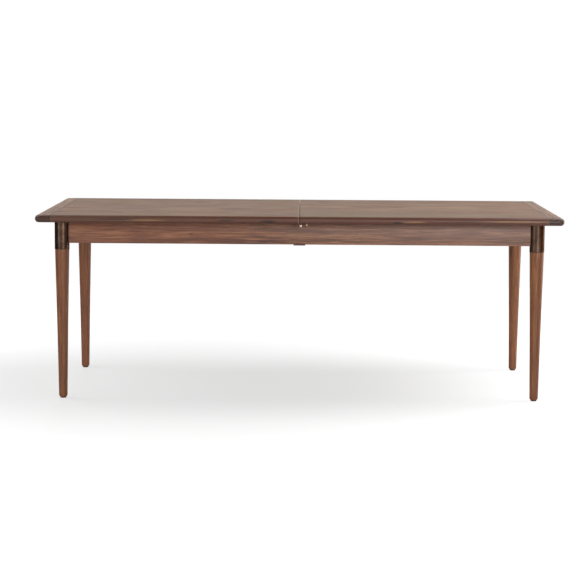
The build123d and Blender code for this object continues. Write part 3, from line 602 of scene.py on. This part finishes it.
def coped_apron(name, length_axis, leg_axis_at):
    """Apron with rounded lower edges whose ends follow the sleeves: the end at y is c - sqrt(R^2 - y^2)."""
    box = size_of(f"{name}_apron")
    run, across = (0, 1) if length_axis == "X" else (1, 0)
    centre = sum(box[across]) / 2
    half_width = (box[across][1] - box[across][0]) / 2
    edge = half_width * (1 - np.cos(quarter(9)))
    steps = np.concatenate([half_width - APRON_ROUND * (1 - np.cos(quarter(5))), edge])
    steps = np.unique(np.round(np.concatenate([-steps, steps]), 7))
    low, high = eased_heights(steps, half_width, box[2][0], box[2][1], APRON_ROUND, APRON_TOP_ROUND)
    reach = leg_axis_at - np.sqrt(COPE_RADIUS**2 - steps**2)
    around_steps = np.concatenate([steps, steps[::-1]])
    up = np.concatenate([low, high[::-1]])
    ends = np.concatenate([reach, reach[::-1]])
    loops = []
    for share in np.linspace(-1, 1, 25):
        columns = [None, None, up]
        columns[run] = ends * share
        columns[across] = centre + around_steps
        loops.append(np.column_stack(columns))
    obj = stack(f"{name}_apron_board", loops, ladder=True)
    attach(obj, "frame")
    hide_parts(f"{name}_apron")
    return obj


def leg(name, sx, sy):
    """Turned leg: r follows a circle through the foot, the middle and the shoulder, with eased ends."""
    foot, middle, shoulder = (17.4, 10.0), (22.55, 300.0), (29.2, 616.0)
    z = np.linspace(foot[1], shoulder[1], 40)
    radius = np.polyval(np.polyfit(*np.array([foot, middle, shoulder])[:, ::-1].T, 2), z)
    taper = np.column_stack([radius, z])
    taper[-1, 0] -= 0.35
    taper = np.insert(taper, -1, [radius[-1] - 0.03, shoulder[1] - 0.7], axis=0)
    tip = [(12.6, 3.5), (13.1, 3.7), (16.9, 9.1), (17.3, 9.6)]
    neck = [(28.2, 616.0), (28.2, 640.0)]
    profile = np.vstack([tip, taper, neck]) * MM
    obj = lathe(f"turned_leg_{name}", (sx * LEG_X, sy * LEG_Y), profile)
    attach(obj, "frame")
    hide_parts(f"leg_{name}")
    return obj


def sleeve(name, sx, sy):
    """Bronze tube over the head of the leg, closed at the top, with softened rims."""
    outer, inner = 30.0, 28.4
    bottom, top, ease = 616.0, 731.0, 0.5
    profile = [(inner, top - 2.0), (inner, bottom + 0.3), (inner + 0.2, bottom)]
    profile += [(outer - ease, bottom), (outer - 0.15, bottom + 0.15), (outer, bottom + ease)]
    profile += [(outer, z) for z in np.linspace(bottom + 4, top - 4, 5)]
    profile += [(outer, top - ease), (outer - 0.15, top - 0.15), (outer - ease, top)]
    obj = lathe(f"bronze_sleeve_{name}", (sx * LEG_X, sy * LEG_Y), np.array(profile) * MM)
    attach(obj, "frame")
    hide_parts(f"leg_sleeve_{name}")
    return obj


# ================================================================ camera, light and floor
CAMERA_AT = (0.0167, -7.9784, 1.3555)
CAMERA_TURN = math.radians(0.298)
CAMERA_DOWN = math.radians(6.801)
CAMERA_LEAN = math.radians(0.384)
CAMERA_LENS = 114.31
WALL_GLOW = 0.58
ROOM_GLOW = 0.14
FLOOR_WHITE = 0.615
# Painted light: extra floor glow that grows away from the table and lightens the outer part of its shadow
RING_PAINTED_LIGHT = 0.32


def place_camera():
    """Long-lens camera before the table, looking a little down; its three angles are set apart."""
    forward = np.array(
        [
            -math.sin(CAMERA_TURN) * math.cos(CAMERA_DOWN),
            math.cos(CAMERA_TURN) * math.cos(CAMERA_DOWN),
            -math.sin(CAMERA_DOWN),
        ]
    )
    level = np.array([math.cos(CAMERA_TURN), math.sin(CAMERA_TURN), 0.0])
    upright = np.cross(level, forward)
    right = math.cos(CAMERA_LEAN) * level + math.sin(CAMERA_LEAN) * upright
    up = math.cos(CAMERA_LEAN) * upright - math.sin(CAMERA_LEAN) * level
    data = bpy.data.cameras.new("camera")
    data.lens, data.sensor_width = CAMERA_LENS, 36.0
    data.dof.use_dof = False
    data.clip_end = 200.0
    camera = bpy.data.objects.new("camera", data)
    bpy.context.scene.collection.objects.link(camera)
    rows = np.column_stack([right, up, -forward])
    camera.matrix_world = Matrix.Translation(CAMERA_AT) @ Matrix(rows.tolist()).to_4x4()
    bpy.context.scene.camera = camera


def softbox(name, at, aim, size, power):
    """A rectangular lamp that faces a point; it lights the table and isn't seen itself."""
    data = bpy.data.lights.new(name, "AREA")
    data.shape, data.size, data.size_y = "RECTANGLE", size[0], size[1]
    data.energy = power
    light = bpy.data.objects.new(name, data)
    light.visible_camera = False
    bpy.context.scene.collection.objects.link(light)
    z_axis = np.array(at, float) - np.array(aim, float)
    z_axis /= np.linalg.norm(z_axis)
    x_axis = np.cross((0.0, 1.0, 0.0) if abs(z_axis[2]) > 0.9 else (0.0, 0.0, 1.0), z_axis)
    x_axis /= np.linalg.norm(x_axis)
    rows = np.column_stack([x_axis, np.cross(z_axis, x_axis), z_axis])
    light.matrix_world = Matrix.Translation(at) @ Matrix(rows.tolist()).to_4x4()


def surroundings():
    """White where it is looked at; as a light, a dim room with bright walls before and behind the table."""
    m = Maker(bpy.data.worlds.new("studio"))
    x, y, z = m.split(m.add("TexCoord", None, None, "Generated"))
    wall = m.fade(m.sum("ABSOLUTE", y), 0.35, 0.9) * m.fade(m.sum("ABSOLUTE", z), 0.8, 0.15)
    glow = wall * WALL_GLOW + ROOM_GLOW
    seen = m.add("LightPath")
    strength = seen + (1.0 - seen) * glow
    background = m.add("Background", None, {"Color": grey(1.0), "Strength": strength})
    m.add("OutputWorld", None, {"Surface": background})
    bpy.context.scene.world = m.owner


def studio_floor():
    """Pale paper; to the camera it is darker but glows, more so in a ring, so its shadow stays soft."""
    wide, deep = 3.2, 3.6
    corners = [(-wide, -deep, 0.0), (wide, -deep, 0.0), (wide, deep, 0.0), (-wide, deep, 0.0)]
    floor = add_mesh("studio_floor", corners, [[0, 1, 2, 3]])
    m = Maker(bpy.data.materials.new("pale_floor"))
    cloud = m.noise(m.join(*m.place()), 3.0, 3.0)
    seen = m.add("LightPath")
    base = m.mix(cloud, grey(0.79), grey(0.81))
    base = m.mix(seen, base, grey(0.28))
    sockets = {"Base_Color": base, "Roughness": 0.6 + (cloud - 0.5) * 0.1, "Specular_IOR_Level": 0.2}
    x, y, z = m.place()
    far = m.length(m.join(x + 0.45, y, z))
    glow = seen * (m.fade(far, 0.6, 2.3, 0.0, RING_PAINTED_LIGHT) + FLOOR_WHITE)
    sockets.update(Emission_Color=m.join(glow, glow, glow), Emission_Strength=1.0)
    floor.data.materials.append(m.finish(**sockets))


def studio():
    """Plain colours in the picture, the room, five lamps and the floor."""
    bpy.context.scene.view_settings.view_transform = "Standard"
    surroundings()
    middle = (0.0, 0.0, 0.5)
    softbox("above_right", (2.4, 0.1, 3.0), middle, (2.0, 2.6), 104.0)
    softbox("above_left", (-2.2, 0.3, 3.0), middle, (1.6, 2.2), 46.0)
    softbox("front_right", (1.8, -6.0, 1.55), middle, (1.1, 1.8), 116.0)
    softbox("front_left", (-4.6, -4.2, 1.5), middle, (1.0, 1.8), 62.0)
    softbox("back_right", (4.9, 1.5, 0.7), middle, (1.4, 1.2), 52.0)
    studio_floor()


# ================================================================ putting it together
NOSE_MARKS = (
    Mark(NOSE_RED, (-0.5, FRONT_EDGE, 0.746), (1.0, 0.016, 0.02), 0.45),
    Mark(NOSE_RED, (0.7, FRONT_EDGE, 0.746), (1.0, 0.016, 0.02), 0.6),
    Mark(VOID, (-0.74, FRONT_EDGE, 0.748), (0.10, 0.02, 0.004), 0.65),
    Mark(GOLD, (-0.62, FRONT_EDGE, 0.744), (0.09, 0.02, 0.004), 0.42),
    Mark(VOID, (-0.30, FRONT_EDGE, 0.746), (0.035, 0.02, 0.004), 0.65),
    Mark(VOID, (-0.125, FRONT_EDGE, 0.743), (0.035, 0.02, 0.005), 0.9),
    Mark(VOID, (0.395, FRONT_EDGE, 0.740), (0.022, 0.02, 0.005), 0.9),
    Mark(GOLD, (0.46, FRONT_EDGE, 0.744), (0.06, 0.02, 0.004), 0.5),
    Mark(GOLD, (0.88, FRONT_EDGE, 0.748), (0.14, 0.02, 0.004), 0.45),
)
APRON_MARKS = (
    Mark(VOID, (-0.442, APRON_FACE, 0.681), (0.010, 0.03, 0.004), 0.7),
    Mark(VOID, (-0.56, APRON_FACE, 0.664), (0.05, 0.03, 0.002), 0.6),
    Mark(MAUVE, (0.62, APRON_FACE, 0.69), (0.55, 0.03, 0.08), 0.25),
    Mark(RUST, (-0.62, APRON_FACE, 0.69), (0.5, 0.03, 0.08), 0.3),
)
BOARD_WIDTH = 0.127
END_GRAIN_FROM = (0.494, 0.503)
# Share of painted shade on the rounded edges of the top and end boards
EDGE_SHADE_SHARE = 0.85


def dress(obj, material):
    """Gives an object this one material."""
    obj.data.materials.clear()
    obj.data.materials.append(material)


def build():
    """The new boards, aprons, legs and sleeves, each with its own piece of the wood's figure."""
    boarded = {"board": BOARD_WIDTH, "start": FRONT_EDGE, "palette": WALNUT_TOP}
    # Stronger figure, an olive tint and painted shade on the rounded edges
    figure_tint_and_edge_shade = {"contrast": 1.5, "tint": OLIVE, "painted_edge_shade": EDGE_SHADE_SHARE}
    joint = size_of("right_end_board")[0][0]
    # Painted shade in the seam between the halves; on the left half a painted highlight just beside it
    seam_painted_shade = (VOID, 0.0, 0.0022, 0.85)
    seam_painted_highlight = (SEAM_HIGHLIGHT_PAINT, -0.0042, 0.0022, 0.18)
    for i, (name, half) in enumerate(HALVES.items()):
        joint_line = (VOID, half * joint, 0.0021, 0.9)
        lines = [seam_painted_shade, joint_line, seam_painted_highlight] if half < 0 else [seam_painted_shade, joint_line]
        look = Wood("X", 1.0 + i, blush=0.6, lines=lines, marks=NOSE_MARKS, **boarded, **figure_tint_and_edge_shade)
        dress(top_panel(name, half), wood(f"walnut_top_{name}", look))
        ends = {"palette": WALNUT_END, "end_grain": END_GRAIN_FROM, "lines": [joint_line]}
        look = Wood("Y", 3.0 + i, blush=0.5, **ends, **figure_tint_and_edge_shade)
        dress(end_board(name, half), wood(f"walnut_end_{name}", look))
    dress(leaf_board(), wood("walnut_leaf", Wood("Y", 5.0, **boarded)))
    looks = {
        "front": Wood("XZ", 6.0, marks=APRON_MARKS, contrast=2.0),
        "back": Wood("XZ", 7.0, contrast=2.0),
    }
    for name in FACES:
        dress(coped_apron(name, "X", LEG_X), wood(f"walnut_apron_{name}", looks[name]))
    for i, name in enumerate(HALVES):
        dress(coped_apron(name, "Y", LEG_Y), wood(f"walnut_apron_{name}", Wood("YZ", 8.0 + i)))
    dark, darker, rim = colour("685144"), colour("4a392f"), colour("5a463a")
    bronze = metal("bronze_plate", dark, darker, 0.26, 0.03, edge=rim)
    for i, (name, (sx, sy)) in enumerate(CORNERS.items()):
        look = Wood("Z", 11.0 + i, centre=(sx * LEG_X, sy * LEG_Y, 0.0), palette=WALNUT_RED, tint=RUST)
        dress(leg(name, sx, sy), wood(f"walnut_leg_{name}", look))
        dress(sleeve(name, sx, sy), bronze)
    dress_cad_nodes()


def dress_cad_nodes():
    """Materials for the CAD nodes that stay as they are, by the slot that the record gives them."""
    pale = (colour("9a7650"), colour("bd9a70"), colour("d6b78d"))
    beech = (colour("b48a5c"), colour("cfa878"), colour("e0c096"))
    hard = {a: wood(f"hardwood_{a}", Wood(a, 20.0, rough=0.6, palette=pale, tint=pale[1])) for a in "XYZ"}
    zinc = metal("zinc_plate", colour("b9bab8"), colour("8f918f"), 0.32, 0.2)
    looks = {
        "black_steel": plastic("black_paint", colour("050505"), colour("0c0b0a"), 0.75),
        "black_screws": metal("black_oxide", colour("2b2b2c"), colour("161617"), 0.4, 0.2),
        "lock_brass": metal("polished_brass", colour("eed9c2"), colour("c9a588"), 0.24, 0.08, "X"),
        # Painted shade: a darker, rougher copy of the lock brass for the keeper and its screws
        "shaded_brass_copy": metal("shaded_brass_copy", colour("9c7c62"), colour("6f5642"), 0.4, 0.12, "X"),
        "zinc_steel": zinc,
        "slide_steel": metal("slide_zinc", colour("c2c4c5"), colour("9b9ea0"), 0.28, 0.15, "X"),
        "ball_steel": metal("bearing_steel", colour("cfd0d2"), colour("b2b3b6"), 0.12, 0.05),
        "glide_plastic": plastic("glide_plastic", colour("1d1a18"), colour("35302c"), 0.5),
        "pin_plastic": plastic("pin_plastic", colour("5b4030"), colour("76573f"), 0.45),
        "felt": felt("brown_felt", colour("4a3a30"), colour("2c221c")),
        "dowel_beech": wood("beech_dowel", Wood("Y", 23.0, rough=0.65, palette=beech, tint=beech[1])),
    }
    slots = {row["node"]: row["material_slot"] for row in frame["record"]["subparts"]}
    for node, obj in frame["nodes"].items():
        # The keeper and the left lock screws take the darker brass copy, painted shade under the top's
        # overhang
        kind = "shaded_brass_copy" if node.endswith("_keeper") or node == "left_lock_screws" else slots[node]
        if kind in looks:
            dress(obj, looks[kind])
        elif kind == "inner_hardwood":
            grain = "X" if node.endswith("_batten") else "Z" if node.startswith("corner_block") else "Y"
            dress(obj, hard[grain])


build()
place_camera()
studio()
bpy.context.view_layer.update()
